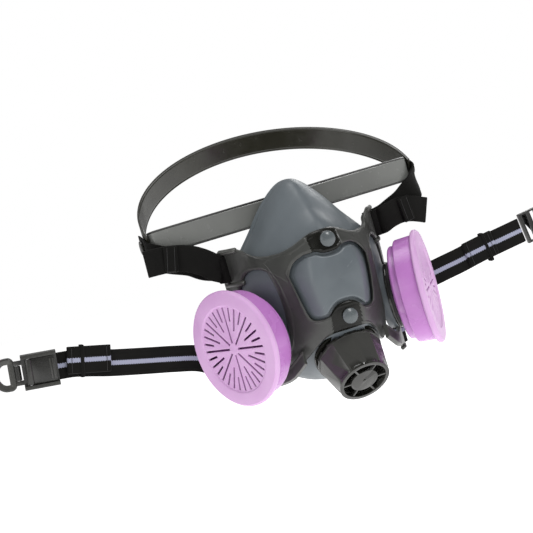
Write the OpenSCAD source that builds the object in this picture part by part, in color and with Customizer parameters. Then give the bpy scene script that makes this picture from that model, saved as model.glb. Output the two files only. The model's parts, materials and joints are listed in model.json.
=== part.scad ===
/* [Face seal] */
// Half the width of the face seal across the cheeks
seal_half_w = 55; // [45:0.5:65]
// Height of the nose end of the seal above the centre
seal_top = 72; // [60:0.5:85]
// Depth of the chin end of the seal below the centre
seal_bottom = 75; // [60:0.5:90]
// How much the nose end of the seal narrows
nose_pinch = 0.34; // [0:0.01:0.4]
// How much more the bridge of the nose narrows into a ridge
ridge_pinch = 0.16; // [0:0.01:0.35]
// How much the sides of the nose are drawn in near the seal
bridge_pinch = 0.2; // [0:0.01:0.35]
// Thickness of the rubber wall
wall = 2.6; // [1.5:0.1:4]
// How far the soft sealing lip turns in, as a share of the seal
lip_turn = 0.16; // [0.05:0.01:0.3]

/* [Yoke] */
// Thickness of the hard yoke
yoke_t = 2.8; // [2:0.1:4]
// Gap between the yoke and the rubber behind it
yoke_gap = 0.45; // [0.3:0.05:1]
// Height of the upper stud that holds the yoke
upper_stud_z = 28; // [20:0.5:34]
// Height of the lower stud that holds the yoke
lower_stud_z = -25.7; // [-32:0.1:-20]
// Radius of a stud's round head
stud_r = 5.3; // [4:0.1:7]
// Radius of a stud's shank
shank_r = 2.5; // [1.5:0.1:3.5]

/* [Inlets and filters] */
// Sideways place of an inlet port
port_x = 50.8; // [45:0.1:56]
// Front to back place of an inlet port
port_y = -16.5; // [-25:0.1:-8]
// Height of an inlet port
port_z = -28.5; // [-35:0.1:-20]
// Angle between straight ahead and a filter's face
port_turn = 62; // [45:1:80]
// Inner radius of the inlet spigot
spigot_bore = 14.5; // [10:0.5:17]
// Outer radius of the inlet spigot
spigot_r = 17; // [14:0.5:20]
// Running gap between the spigot and the filter neck, on the radius
turn_fit = 0.06; // [0.01:0.01:0.1]
// Radius of the filter's front flange
flange_r = 41.25; // [35:0.25:50]
// Radius of the filter body just behind the flange
body_r = 38.2; // [32:0.1:46]
// Radius of the step at the back of the filter
step_r = 34; // [28:0.5:40]
// Radius of the round grille in the filter's face
grille_r = 30.2; // [24:0.1:34]
// Number of radial slots in the grille
slot_count = 32; // [16:8:64]
// Width of one radial slot
slot_w = 1.5; // [1:0.1:2.5]

/* [Exhalation valve] */
// Angle of the valve below straight ahead
valve_tilt = 43.5; // [20:0.5:70]
// Front to back place of the valve's base
valve_y = -37; // [-45:0.5:-30]
// Height of the valve's base
valve_z = -52; // [-60:0.5:-44]
// Radius of the wide end of the cover
cover_base_r = 23; // [20:0.1:28]
// Radius of the open end of the cover
cover_end_r = 18.3; // [15:0.1:22]
// Length of the cover
cover_len = 26.5; // [20:0.5:32]
// Number of flat sides round the cover
cover_sides = 10; // [6:1:12]

/* [Straps] */
// Width of the woven webbing
web_w = 19; // [15:0.5:25]
// Thickness of the woven webbing
web_t = 1.4; // [1:0.1:2]
// Width of the plastic bands over the head
band_w = 18.4; // [14:0.2:24]
// Thickness of the plastic bands
band_t = 1.6; // [1:0.1:2.5]
// Half the distance between the two ends of the head cradle
band_half = 99; // [90:0.5:110]
// Length of the rear band's rise from the cradle pivot
hoop_len = 106; // [90:1:130]
// Upward tilt of the rear band
hoop_tilt = 28; // [0:1:60]

/* [Hidden] */
around = 48;
rubber = [0.37, 0.40, 0.42];
dark = [0.22, 0.22, 0.21];
black = [0.07, 0.07, 0.07];
violet = [0.76, 0.56, 0.80];
face_violet = [0.82, 0.65, 0.83];
white = [0.93, 0.93, 0.94];
steel = [0.6, 0.6, 0.62];

// Each line below gives the share of the seal outline and the depth, from the front centre to the rim
nose_line = [[0, -62], [0.2, -61.5], [0.39, -60], [0.55, -52], [0.69, -40], [0.85, -29],
    [0.96, -19], [1, -8], [0.97, 0]];
cheek_line = [[0, -62], [0.22, -61], [0.36, -56], [0.52, -45], [0.66, -35], [0.8, -24],
    [0.93, -10], [1, 5], [0.98, 18]];
chin_line = [[0, -62], [0.17, -63], [0.33, -63], [0.46, -58], [0.58, -51], [0.72, -38],
    [0.88, -20], [1, 2], [0.96, 16]];

function smooth(a, b, c, d, t) = 0.5 * (2 * b + (c - a) * t + (2 * a - 5 * b + 4 * c - d) * t * t
    + (3 * b - a - 3 * c + d) * t * t * t);
function along(line, s) = let (n = len(line), i = min(floor(s), n - 2))
    smooth(line[max(0, i - 1)], line[i], line[i + 1], line[min(n - 1, i + 2)], s - i);
function unit(v) = v / norm(v);
function swing(v, t) = [v[0] * cos(t) - v[1] * sin(t), v[0] * sin(t) + v[1] * cos(t), v[2]];

function ease(t) = let (u = max(0, min(1, t))) u * u * (3 - 2 * u);

// A point on the mask's outer skin, a degrees round from the nose, s stations out from the centre.
// n is how far the sides of the nose are drawn in, which the yoke doesn't follow.
function skin(a, s, n = 0) = let (c = cos(a), q = sin(a), w = c * c,
    line = c > 0 ? nose_line : chin_line,
    p = along(line, s) * w + along(cheek_line, s) * (1 - w))
    [seal_half_w * sign(q) * pow(abs(q), 0.85) * p[0] * (1 - pow(max(0, c), 2.5)
        * (nose_pinch + ridge_pinch * sin(180 * max(0, min(1, (s - 1) / 6.6))))
        - n * ease((c - 0.15) / 0.5) * ease((s - 3) / 4)), p[1],
        (c > 0 ? seal_top : seal_bottom) * c * p[0]];
function outward(a, s, n = 0) = unit(cross(skin(a + 1, s, n) - skin(a - 1, s, n),
    skin(a, s + 0.02, n) - skin(a, s - 0.02, n)));
function skin_off(a, s, d, n = 0) = s < 0.1 ? skin(a, 0) - [0, d, 0]
    : skin(a, s, n) + d * outward(a, s, n);
function lip_point(a, share, y) = let (p = skin(a, 8, bridge_pinch))
    [p[0] * share, p[1] + y, p[2] * share];

// A closed solid from rings of points, with a single point at each end
module ring_solid(first, rings, last) {
    n = len(rings[0]);
    m = len(rings);
    points = concat([first], [for (r = rings) for (p = r) p], [last]);
    faces = concat(
        [for (j = [0:n - 1]) [0, 1 + (j + 1) % n, 1 + j]],
        [for (k = [0:m - 2]) for (j = [0:n - 1])
            let (a = 1 + k * n + j, b = 1 + k * n + (j + 1) % n, c = b + n, d = a + n)
            each [[a, b, c], [a, c, d]]],
        [for (j = [0:n - 1]) [m * n + 1, 1 + (m - 1) * n + j, 1 + (m - 1) * n + (j + 1) % n]]);
    polyhedron(points, faces, convexity = 6);
}

// A flat strap through path points; sides gives the across direction and half width at each
module ribbon(path, sides, t) {
    n = len(path);
    function heading(i) = unit(path[min(n - 1, i + 1)] - path[max(0, i - 1)]);
    function flat(i) = unit(cross(heading(i), sides[i]));
    points = [for (i = [0:n - 1]) each [path[i] - sides[i] - flat(i) * t / 2,
        path[i] + sides[i] - flat(i) * t / 2, path[i] + sides[i] + flat(i) * t / 2,
        path[i] - sides[i] + flat(i) * t / 2]];
    faces = concat([[0, 1, 2], [0, 2, 3]],
        [for (i = [0:n - 2]) for (j = [0:3]) let (a = 4 * i + j, b = 4 * i + (j + 1) % 4)
            each [[a, a + 4, b + 4], [a, b + 4, b]]],
        [[4 * n - 4, 4 * n - 2, 4 * n - 3], [4 * n - 4, 4 * n - 1, 4 * n - 2]]);
    polyhedron(points, faces, convexity = 8);
}

// A smooth run of points through a list of control points, with steps between each pair
function run(list, steps) = [for (i = [0:len(list) - 2]) for (k = [0:steps - 1])
    smooth(list[max(0, i - 1)], list[i], list[i + 1], list[min(len(list) - 1, i + 2)], k / steps)];

module by_side(s) {
    if (s > 0) {
        children();
    } else {
        mirror([1, 0, 0]) children();
    }
}

// Places a child at the right inlet, with its own upward axis pointing out of the port
module at_port() {
    translate([port_x, port_y, port_z]) rotate([0, 0, port_turn - 90]) rotate([0, 90, 0]) children();
}

// Places a child at the exhalation valve, with its own upward axis pointing out of the valve
module at_valve() {
    translate([0, valve_y, valve_z]) rotate([90 + valve_tilt, 0, 0]) children();
}

module ring(r, bore, low, high) {
    translate([0, 0, low]) difference() {
        cylinder(r = r, h = high - low, $fn = 72);
        translate([0, 0, -1]) cylinder(r = bore, h = high - low + 2, $fn = 72);
    }
}

port_hole = 18.4;
port_collar = 23;
valve_hole = 18.2;
valve_collar = 22;

module facepiece() {
    a = [for (j = [0:around - 1]) 360 * j / around];
    outer = [for (k = [1:16]) [for (t = a) skin(t, k / 2, bridge_pinch)]];
    inner = [for (k = [15:-1:1]) [for (t = a) skin_off(t, k / 2, -wall, bridge_pinch)]];
    lip = [[for (t = a) lip_point(t, 1 - lip_turn, -5.5)], [for (t = a) lip_point(t, 1 - lip_turn, -7)]];
    color(rubber) difference() {
        ring_solid(skin(0, 0), concat(outer, lip, inner), skin_off(0, 0, -wall));
        for (s = [-1, 1]) by_side(s) at_port() translate([0, 0, -20])
            cylinder(r = port_collar + 0.15, h = 40, $fn = 72);
        at_valve() translate([0, 0, -20]) cylinder(r = valve_collar + 0.15, h = 46, $fn = 72);
        at_valve() translate([0, 0, -0.8]) cylinder(r = cover_base_r + 1.8, h = 27, $fn = 72);
        for (z = [upper_stud_z, lower_stud_z]) translate([0, -45, z]) rotate([90, 0, 0])
            cylinder(r = shank_r + 0.05, h = 30, $fn = 32);
    }
}

// The soft collars stand in the rubber and grip the ports
module inlet_collar() {
    color(rubber) ring(port_collar, port_hole, -7, -0.6);
}

module exhale_collar() {
    color(rubber) ring(valve_collar, valve_hole, -6, -0.6);
}

// Outline of the yoke's right half seen from the front, and of the window in it
arm_cut = 46;
low_cut = 37;
yoke_outline = [[0, 35], [6, 34.5], [16, 30.5], [25, 27], [34, 26], [41, 29], [arm_cut, 33.5], [arm_cut, 18],
    [43, 19], [38.5, 14.5], [35.5, 7], [33, -8], [31.5, -28], [33, -40], [low_cut, -45],
    [low_cut, -57], [34, -55], [29, -50], [22.5, -41.5], [14, -36], [0, -35.5]];
window_half = [[0, 22], [10, 22], [17, 21.5], [24, 16.5], [27.5, 10.5], [27, 0], [24.5, -17], [17.4, -23.5],
    [10, -21], [0, -21]];
function mirrored(half) = concat(half,
    [for (i = [len(half) - 1:-1:0]) if (half[i][0] > 0) [-half[i][0], half[i][1]]]);

module through(outline) {
    rotate([90, 0, 0]) translate([0, 0, -60]) linear_extrude(height = 140) polygon(outline);
}

strap_turn = 56.6;
bar_at = [58, 4, 23];
low_bar_at = [56, 6, -58];
low_turn = 71;
slot_tall = 21;
slot_wide = 3.9;
strap_bar_r = 1.5;
arm_t = 4.4;
mid = yoke_gap + yoke_t / 2 + 3;
arm_path = [skin_off(64, 4.6, mid), skin_off(65, 5.2, mid), [52.8, -11.5, 24.6], [55.6, -5.1, 23.8],
    [58, 4, 23], [59.4, 6.1, 23]];
arm_half = [8, 8.5, 11, 14, 14, 13];
low_path = [[36.2, -34, -54], [40, -29.5, -58.6], [44.5, -22.5, -61], [50, -10.5, -62], [54, 0, -59.4],
    [56, 6, -58], [57, 8.9, -58]];
low_half = [4.5, 5, 6, 8, 12, 14, 13];

// The gap a strap passes through, in a plate that runs along X, with holes for the bar in its two ears
module strap_slot(at, turn) {
    translate(at) rotate([0, 0, turn]) {
        translate([-1.8 - slot_wide, -8, -slot_tall / 2]) cube([slot_wide + 14, 16, slot_tall]);
        translate([0, 0, -20]) cylinder(r = strap_bar_r + 0.03, h = 40, $fn = 48);
    }
}

module strap_bar(at) {
    color(dark) translate([at[0], at[1], at[2] - 12.4]) cylinder(r = strap_bar_r, h = 24.8, $fn = 48);
}

module yoke() {
    a = [for (j = [0:around - 1]) 360 * j / around];
    outer = [for (k = [1:13]) [for (t = a) skin_off(t, k / 2, yoke_gap + yoke_t)]];
    inner = [for (k = [13:-1:1]) [for (t = a) skin_off(t, k / 2, yoke_gap)]];
    color(dark) difference() {
        intersection() {
            ring_solid(skin_off(0, 0, yoke_gap + yoke_t), concat(outer, inner), skin_off(0, 0, yoke_gap));
            through(mirrored(yoke_outline));
        }
        through(mirrored(window_half));
        for (s = [-1, 1]) by_side(s) at_port() translate([0, 0, -3])
            cylinder(r = port_collar + 2, h = 30, $fn = 72);
        at_valve() translate([0, 0, -10]) cylinder(r = cover_base_r + 2, h = 60, $fn = 72);
        for (z = [upper_stud_z, lower_stud_z]) translate([0, -45, z]) rotate([90, 0, 0])
            cylinder(r = shank_r + 0.05, h = 30, $fn = 32);
    }
}

// An arm carries the bar that a strap goes round
module strap_arm(path, half, at, turn, cut) {
    color(dark) difference() {
        ribbon(path, [for (h = half) [0, 0, h]], arm_t);
        strap_slot(at, turn);
        translate([cut - 99.8, -80, -100]) cube([100, 120, 200]);
    }
}

module upper_arm() {
    strap_arm(arm_path, arm_half, bar_at, strap_turn, arm_cut);
}

module lower_arm() {
    strap_arm(low_path, low_half, low_bar_at, low_turn, low_cut);
}

// A domed stud pressed through the yoke and the rubber
module stud(y, z, tail) {
    color(steel) translate([0, y, z]) rotate([90, 0, 0]) {
        cylinder(r = stud_r, h = 1.2, $fn = 48);
        translate([0, 0, 1.2]) intersection() {
            translate([0, 0, -6.2]) sphere(r = 8.17, $fn = 64);
            cylinder(r = stud_r, h = 3, $fn = 48);
        }
        translate([0, 0, -tail]) cylinder(r = shank_r, h = tail + 0.1, $fn = 32);
        translate([0, 0, -tail - 1.2]) cylinder(r = shank_r + 1.6, h = 1.2, $fn = 32);
    }
}

module inlet_connector() {
    color(dark) {
        ring(port_hole - 0.15, spigot_bore, -7.5, -0.4);
        ring(spigot_r + 7, spigot_bore, -0.4, 1.2);
        ring(spigot_r, spigot_bore, 1.2, 9);
        translate([0, 0, -7.5]) {
            for (t = [0, 60, 120]) rotate([0, 0, t]) translate([-spigot_bore - 0.5, -0.7, 0])
                cube([2 * spigot_bore + 1, 1.4, 1.6]);
            cylinder(r = 3, h = 1.6, $fn = 32);
        }
    }
}

module inlet_gasket() {
    color(black) ring(spigot_r + 6.4, spigot_r + 0.35, 1.3, 3);
}

// The thin flap opens inwards, on the wearer's side of its spokes
module inhale_flap() {
    color(rubber) translate([0, 0, -8.6]) cylinder(r = spigot_bore + 1.2, h = 0.8, $fn = 64);
}

module exhale_valve_seat() {
    color(black) {
        ring(valve_hole - 0.15, 15, -6.5, -0.4);
        ring(cover_base_r + 1.2, 15, -0.4, 1.6);
        ring(18.6, 15, 1.6, 3.2);
        for (t = [0, 60, 120]) rotate([0, 0, t]) translate([-15.5, -0.8, -0.4]) cube([31, 1.6, 2]);
        translate([0, 0, -0.4]) cylinder(r = 3.4, h = 2, $fn = 32);
    }
}

module exhale_flap() {
    color(rubber) translate([0, 0, 1.9]) cylinder(r = 14.4, h = 0.8, $fn = 64);
}

// The cover is a hollow cone with flat sides, open at its end between six spokes
module exhale_cover() {
    low = 3.5;
    high = low + cover_len;
    color(black) {
        difference() {
            union() {
                translate([0, 0, low + 2.2]) rotate([0, 0, 18])
                    cylinder(r1 = cover_base_r + 0.5, r2 = cover_end_r + 0.5, h = cover_len - 4.2,
                        $fn = cover_sides);
                ring(cover_base_r + 0.6, 19.2, low, low + 2.4);
                translate([0, 0, high - 2.4]) cylinder(r = cover_end_r, h = 2.4, $fn = 64);
            }
            translate([0, 0, low - 1]) cylinder(r = 19.2, h = 4, $fn = 64);
            translate([0, 0, low + 2.2]) rotate([0, 0, 18])
                cylinder(r1 = cover_base_r - 3.2, r2 = cover_end_r - 2.4, h = cover_len - 4.4,
                    $fn = cover_sides);
            translate([0, 0, high - 3]) cylinder(r = cover_end_r - 2.6, h = 4, $fn = 64);
            for (t = [0:36:324]) rotate([0, 0, t])
                translate([cover_base_r - 0.7, -3, low - 0.5]) cube([3, 6, 2]);
        }
        translate([0, 0, high - 2.4]) {
            cylinder(r = 9.8, h = 1.8, $fn = 64);
            cylinder(r = 1, h = 2.3, $fn = 32);
            for (t = [0:60:300]) rotate([0, 0, t])
                translate([9, -0.65, 0]) cube([cover_end_r - 11, 1.3, 1.8]);
        }
    }
}

face_at = 28;
flange_back = face_at - 4.3;
body_back = flange_back - 13.5;
step_back = body_back - 5;
neck_back = 3.2;

// The cartridge is a round cup with a stepped back and a neck that turns on the spigot
module filter_body() {
    color(violet) rotate_extrude($fn = 120) polygon([[spigot_r + turn_fit, neck_back], [23, neck_back],
        [23, step_back], [step_r - 1, step_back], [step_r, step_back + 1], [step_r, body_back],
        [body_r - 1.4, body_back], [body_r - 0.7, body_back + 0.8], [body_r, flange_back - 0.3],
        [body_r - 2.2, flange_back - 0.3], [body_r - 2.9, body_back + 2],
        [step_r - 2.2, body_back + 2], [step_r - 2.2, step_back + 2], [spigot_r + turn_fit, step_back + 2]]);
}

// Length of a slot in the grille: every fourth is long, those beside it short
function slot_from(i) = i % 4 == 0 ? 0.14 : i % 4 == 2 ? 0.45 : 0.66;

module filter_lid() {
    color(face_violet) difference() {
        rotate_extrude($fn = 120) polygon([[0, face_at - 2.6], [grille_r + 1, face_at - 2.6],
            [grille_r + 2.4, flange_back], [flange_r - 1, flange_back], [flange_r, flange_back + 1],
            [flange_r, face_at - 1.4], [flange_r - 1.4, face_at], [grille_r + 1.2, face_at],
            [grille_r + 0.2, face_at - 0.8], [0, face_at - 0.8]]);
        for (i = [0:slot_count - 1]) rotate([0, 0, i * 360 / slot_count])
            translate([slot_from(i) * grille_r, -slot_w / 2, face_at - 4])
                cube([(0.985 - slot_from(i)) * grille_r, slot_w, 6]);
    }
}

module filter_media() {
    color(white) translate([0, 0, body_back + 2.4]) cylinder(r = body_r - 3.4, h = 9, $fn = 96);
}

left_web = [[-104.6, 19, 47.5], [-100, 13.8, 43.5], [-91, 12.6, 39], [-79, 11.4, 34], [-69, 10.4, 27.5]];
left_tail = [[-64.6, -0.6, 25.6], [-73, 0.8, 33], [-83, 3.6, 38.5], [-96, 5.4, 41.3], [-110.9, 6.8, 42]];
right_web = [[104.6, 19, 46], [100, 13.8, 40], [91, 13, 33], [79, 11.6, 28], [69, 10.4, 24.6]];
right_tail = [[64.6, -0.6, 23.6], [71, 0.6, 25.4], [80, 3.2, 26.4], [90, 5.2, 25], [102, 7, 20.4]];

loop_r = 4.1;
neck_loop_r = 3.5;
function bar_turn(s, from, to, n, z) = [for (k = [0:n]) let (t = from + (to - from) * k / n)
    let (p = [bar_at[0], bar_at[1], 0] + swing([loop_r * cos(t), loop_r * sin(t), 0], strap_turn))
    [s * p[0], p[1], z]];

rivet_y = 26;
rivet_z = 53;
tab_in = band_half + 0.7;
web_end_x = tab_in + 5.35;

// The webbing comes from the rivet, goes round the buckle bar and back on itself
module upper_webbing(s, web, tail) {
    bend = bar_turn(s, 95, 265, 8, bar_at[2]);
    path = concat([[s * web_end_x, 36, 52.5], [s * web_end_x, 31, 51.8],
        [s * web_end_x, 25, 50.4]], run(concat(web, [bend[0]]), 3), bend,
        run(tail, 3), [tail[len(tail) - 1]]);
    color(black) difference() {
        ribbon(path, [for (p = path) [0, 0, web_w / 2]], web_t);
        translate([s * (band_half - 6), rivet_y, rivet_z]) rotate([0, 90 * s, 0])
            cylinder(r = 3.05, h = 20, $fn = 32);
    }
}

// The free end of the webbing is folded twice and sewn, so it can't pull through
module webbing_end_fold(at, turn) {
    color(black) translate(at) rotate([0, 0, turn]) translate([-4, -2.2, -web_w / 2]) cube([8, 2.2, web_w]);
}

module cradle_rivet(s) {
    color(steel) translate([s * (tab_in - 2), rivet_y, rivet_z]) rotate([0, 90 * s, 0]) {
        cylinder(r = 5, h = 1.6, $fn = 48);
        cylinder(r = 3, h = 10, $fn = 32);
        translate([0, 0, 8.4]) cylinder(r = 5, h = 1.6, $fn = 48);
    }
}

module cradle_front_band() {
    half = [[tab_in + 0.8, 32, 52.4], [tab_in + 0.8, 28, 52.7], [tab_in + 0.8, 24, 53],
        [tab_in + 0.2, 19, 53.4],
        [tab_in - 4.5, 15.5, 53.8], [80, 13.8, 53.9], [52, 12.4, 54], [25, 11.8, 54], [0, 11.6, 54]];
    path = concat(half, [for (i = [len(half) - 2:-1:0]) [-half[i][0], half[i][1], half[i][2]]]);
    smooth_path = concat(run(path, 2), [path[len(path) - 1]]);
    color(dark) difference() {
        ribbon(smooth_path, [for (p = smooth_path) [0, 0, band_w / 2]], band_t);
        cradle_holes();
    }
}

module cradle_holes() {
    translate([-band_half - 12, rivet_y, rivet_z]) rotate([0, 90, 0])
        cylinder(r = 3.05, h = 2 * band_half + 24, $fn = 32);
}

module cradle_rear_band() {
    lift = [for (k = [0:28]) let (t = 180 * k / 28, q = sin(t), x = (tab_in + 3.2) * cos(t))
        [x, 24 + (hoop_len - 10) * q * cos(hoop_tilt), 54 + hoop_len * q * sin(hoop_tilt)]];
    path = concat([[tab_in + 3.2, 20.6, 52]], lift, [[-tab_in - 3.2, 20.6, 52]]);
    lean = [for (k = [0:30]) let (q = sin(180 * max(0, min(28, k - 1)) / 28))
        [0, -q * sin(hoop_tilt) * 0.9, 1 - q * 0.1]];
    color(dark) difference() {
        ribbon(path, [for (v = lean) unit(v) * band_w / 2], band_t);
        cradle_holes();
    }
}

left_neck = [[61, 16.5, -56.5], [68, 24, -50], [77, 27.6, -43], [90, 27, -35], [108, 25, -29.5],
    [125, 23, -25],
    [151, 20.5, -18], [166, 19.2, -13.2], [177, 18.5, -10], [186, 18.8, -8.6], [196, 18.7, -7.2]];
right_neck = [[61, 16.5, -56], [68, 24, -48], [77, 27.4, -39], [90, 27, -31], [106, 24, -27.7],
    [124, 22.5, -25],
    [141, 22, -22], [160, 21, -19.4], [178, 20, -17]];

// A neck strap loops round the lower bar and is sewn to itself just past it
module neck_strap(s, line) {
    loop = [for (k = [0:10]) let (t = -100 + 200 * k / 10)
        low_bar_at + swing([-neck_loop_r * cos(t), neck_loop_r * sin(t), 0], low_turn)];
    path = concat(run(concat([loop[10]], line), 3), [line[len(line) - 1]]);
    half = [for (p = path) [0, 0, web_w / 2]];
    color(black) by_side(s) {
        ribbon(concat([for (p = loop) [p[0], p[1], low_bar_at[2]]], [for (i = [1:len(path) - 1]) path[i]]),
            concat([for (p = loop) [0, 0, web_w / 2]], [for (i = [1:len(path) - 1]) half[i]]), web_t);
    }
}

// A folded block of webbing that holds the free end against the strap
module neck_keeper(at, turn, tip, long) {
    color(black) translate(at) rotate([0, 0, turn]) rotate([0, tip, 0]) difference() {
        translate([-long / 2, -2.9, -web_w / 2 - 1.8]) cube([long, 5.8, web_w + 3.6]);
        translate([-long, -1.6, -web_w / 2 - 0.5]) cube([2 * long, 3.2, web_w + 1]);
    }
}

buckle_at = [-200.4, 15.7, -6.4];
buckle_turn = 4;
buckle_tip = 7;

// Places a child on the buckle, with X pointing out along the strap
module at_buckle() {
    translate(buckle_at) rotate([0, 0, -buckle_turn]) rotate([0, buckle_tip, 0]) mirror([1, 0, 0]) children();
}

body_len = 24.4;
body_tall = 24;
body_deep = 9.4;
pivot_x = 7.4;
gap_half = 8.2;
pivot_y = -4.6;

module neck_buckle_body() {
    color(black) at_buckle() difference() {
        union() {
            translate([-body_len / 2, -1.8, -body_tall / 2]) cube([body_len, 3.6, body_tall]);
            for (z = [-body_tall / 2, body_tall / 2 - 2.6])
                translate([-body_len / 2, -body_deep + 1.8, z]) cube([body_len, body_deep - 1.8, 2.6]);
            translate([body_len / 2 - 1, -1.8, -8.5]) cube([6.2, 3.6, 3]);
            translate([body_len / 2 - 1, -1.8, 5.5]) cube([6.2, 3.6, 3]);
        }
        translate([-body_len / 2 + 3, -10, -gap_half]) cube([3.4, 20, 2 * gap_half]);
        translate([-body_len / 2 + 9, -10, -gap_half]) cube([3.4, 20, 2 * gap_half]);
        translate([pivot_x, pivot_y, -body_tall / 2 - 1]) cylinder(r = 1.3, h = body_tall + 2, $fn = 32);
        translate([body_len / 2 + 3.2, 0, -10]) cylinder(r = 1.25, h = 20, $fn = 32);
    }
}

module buckle_lever() {
    color(black) at_buckle() difference() {
        union() {
            translate([pivot_x, pivot_y, -8.9]) cylinder(r = 2.5, h = 17.8, $fn = 48);
            translate([-10.6, pivot_y - 1.2, -8.9]) cube([pivot_x + 10.6, 2.4, 17.8]);
            for (x = [-9.8, -8]) translate([x, pivot_y - 1.8, -7]) cube([1, 0.8, 14]);
        }
        translate([pivot_x, pivot_y, -12]) cylinder(r = 1.3, h = 24, $fn = 32);
    }
}

module lever_pin() {
    color(steel) at_buckle() translate([pivot_x, pivot_y, -body_tall / 2 + 0.3])
        cylinder(r = 1.25, h = body_tall - 0.6, $fn = 32);
}

module ring_pin() {
    color(steel) at_buckle() translate([body_len / 2 + 3.2, 0, -8.4]) cylinder(r = 1.22, h = 16.8, $fn = 32);
}

ring_len = 20;

// Outline of a D: a straight side at x = from, and a half oval that reaches x = to
function bow(from, to, half, n) = concat([[from, -half], [from + (to - from) * 0.3, -half]],
    [for (i = [1:n - 1]) let (t = -90 + 180 * i / n)
        [from + (to - from) * (0.3 + 0.7 * cos(t)), half * sin(t)]],
    [[from + (to - from) * 0.3, half], [from, half]]);

// The ring's straight side is a sleeve on the pin; the rest is a round bow
module d_ring() {
    color(black) at_buckle() translate([body_len / 2 + 3.2, 0, 0]) {
        difference() {
            union() {
                translate([0, 0, -5.2]) cylinder(r = 2.4, h = 10.4, $fn = 48);
                rotate([90, 0, 0]) translate([0, 0, -1.8]) linear_extrude(height = 3.6) difference() {
                    polygon(bow(2.8, ring_len, 11.6, 24));
                    polygon(bow(6.4, ring_len - 3.6, 8.2, 24));
                }
                translate([0, -1.8, -5]) cube([4, 3.6, 10]);
            }
            translate([0, 0, -8]) cylinder(r = 1.22 + 0.06, h = 16, $fn = 32);
        }
    }
}

hook_at = [187, 19.6, -15.8];

module at_hook() {
    translate(hook_at) rotate([0, 0, -4]) rotate([0, -8, 0]) children();
}

// The hook hangs on the far end of the right strap and catches the ring behind the neck
module neck_hook() {
    color(black) at_hook() {
        difference() {
            translate([-8, -1.8, -12]) cube([20, 3.6, 24]);
            translate([-5, -10, -web_w / 2 - 0.8]) cube([3.4, 20, web_w + 1.6]);
            translate([2, -10, -web_w / 2 - 0.8]) cube([3.4, 20, web_w + 1.6]);
        }
        translate([12, 1.8, 0]) rotate([90, 0, 0]) linear_extrude(height = 3.6) difference() {
            polygon([[-0.5, -8], [8, -8], [14, -5], [16, 0], [14, 5], [10, 7.5], [3, 7.5], [3, 3.8], [8, 3.6],
                [11.5, 0], [8, -3.6], [-0.5, -3.6]]);
        }
    }
}

facepiece();
by_side(-1) at_port() inlet_collar();  // left_inlet_collar
by_side(1) at_port() inlet_collar();  // right_inlet_collar
at_valve() exhale_collar();
yoke();
by_side(-1) upper_arm();  // left_upper_arm
by_side(1) upper_arm();  // right_upper_arm
by_side(-1) lower_arm();  // left_lower_arm
by_side(1) lower_arm();  // right_lower_arm
by_side(-1) strap_bar(bar_at);  // left_upper_bar
by_side(1) strap_bar(bar_at);  // right_upper_bar
by_side(-1) strap_bar(low_bar_at);  // left_lower_bar
by_side(1) strap_bar(low_bar_at);  // right_lower_bar
stud(-64.5, upper_stud_z, 10.6);  // upper_stud
stud(-66.6, lower_stud_z, 9);  // lower_stud
by_side(-1) at_port() inlet_connector();  // left_inlet_connector
by_side(1) at_port() inlet_connector();  // right_inlet_connector
by_side(-1) at_port() inlet_gasket();  // left_inlet_gasket
by_side(1) at_port() inlet_gasket();  // right_inlet_gasket
by_side(-1) at_port() inhale_flap();  // left_inhale_flap
by_side(1) at_port() inhale_flap();  // right_inhale_flap
at_valve() exhale_valve_seat();
at_valve() exhale_flap();
at_valve() exhale_cover();
by_side(-1) at_port() filter_body();  // left_filter_body
by_side(1) at_port() filter_body();  // right_filter_body
by_side(-1) at_port() filter_lid();  // left_filter_lid
by_side(1) at_port() filter_lid();  // right_filter_lid
by_side(-1) at_port() filter_media();  // left_filter_media
by_side(1) at_port() filter_media();  // right_filter_media
upper_webbing(-1, left_web, left_tail);  // left_upper_webbing
upper_webbing(1, right_web, right_tail);  // right_upper_webbing
webbing_end_fold([-93, 4.2, 40.7], -6);  // left_webbing_end_fold
webbing_end_fold([85, 3.3, 26], 12);  // right_webbing_end_fold
cradle_rivet(-1);  // left_cradle_rivet
cradle_rivet(1);  // right_cradle_rivet
cradle_front_band();
cradle_rear_band();
neck_strap(-1, left_neck);  // left_neck_strap
neck_strap(1, right_neck);  // right_neck_strap
neck_keeper([-164, 19.3, -13.8], 5.5, 17, 22);  // left_neck_keeper
neck_keeper([141, 22, -22], -3, -9, 22);  // right_neck_keeper
neck_buckle_body();
buckle_lever();
lever_pin();
d_ring();
ring_pin();
neck_hook();
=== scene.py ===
# Half-mask respirator: rubber facepiece, hard yoke, two violet filters, head cradle and neck straps.
import json
import math
import bpy
import bmesh
import numpy as np
from mathutils import Matrix, Vector


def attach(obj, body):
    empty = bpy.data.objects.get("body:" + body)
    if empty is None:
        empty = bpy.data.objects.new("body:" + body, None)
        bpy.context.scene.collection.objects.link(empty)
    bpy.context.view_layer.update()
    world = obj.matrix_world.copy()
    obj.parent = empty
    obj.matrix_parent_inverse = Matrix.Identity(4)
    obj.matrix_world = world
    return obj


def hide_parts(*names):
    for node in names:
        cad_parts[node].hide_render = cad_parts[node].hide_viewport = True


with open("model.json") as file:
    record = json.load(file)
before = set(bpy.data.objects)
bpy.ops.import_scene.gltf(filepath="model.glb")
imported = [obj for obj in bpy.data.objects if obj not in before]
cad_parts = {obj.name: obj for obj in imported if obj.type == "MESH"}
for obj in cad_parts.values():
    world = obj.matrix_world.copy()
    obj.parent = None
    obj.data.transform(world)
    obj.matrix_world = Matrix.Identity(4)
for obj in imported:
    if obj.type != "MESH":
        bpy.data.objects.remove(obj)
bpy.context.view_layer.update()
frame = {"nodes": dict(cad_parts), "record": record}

mm = 0.001
print("frame loaded:", len(frame["nodes"]), "nodes")

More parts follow.
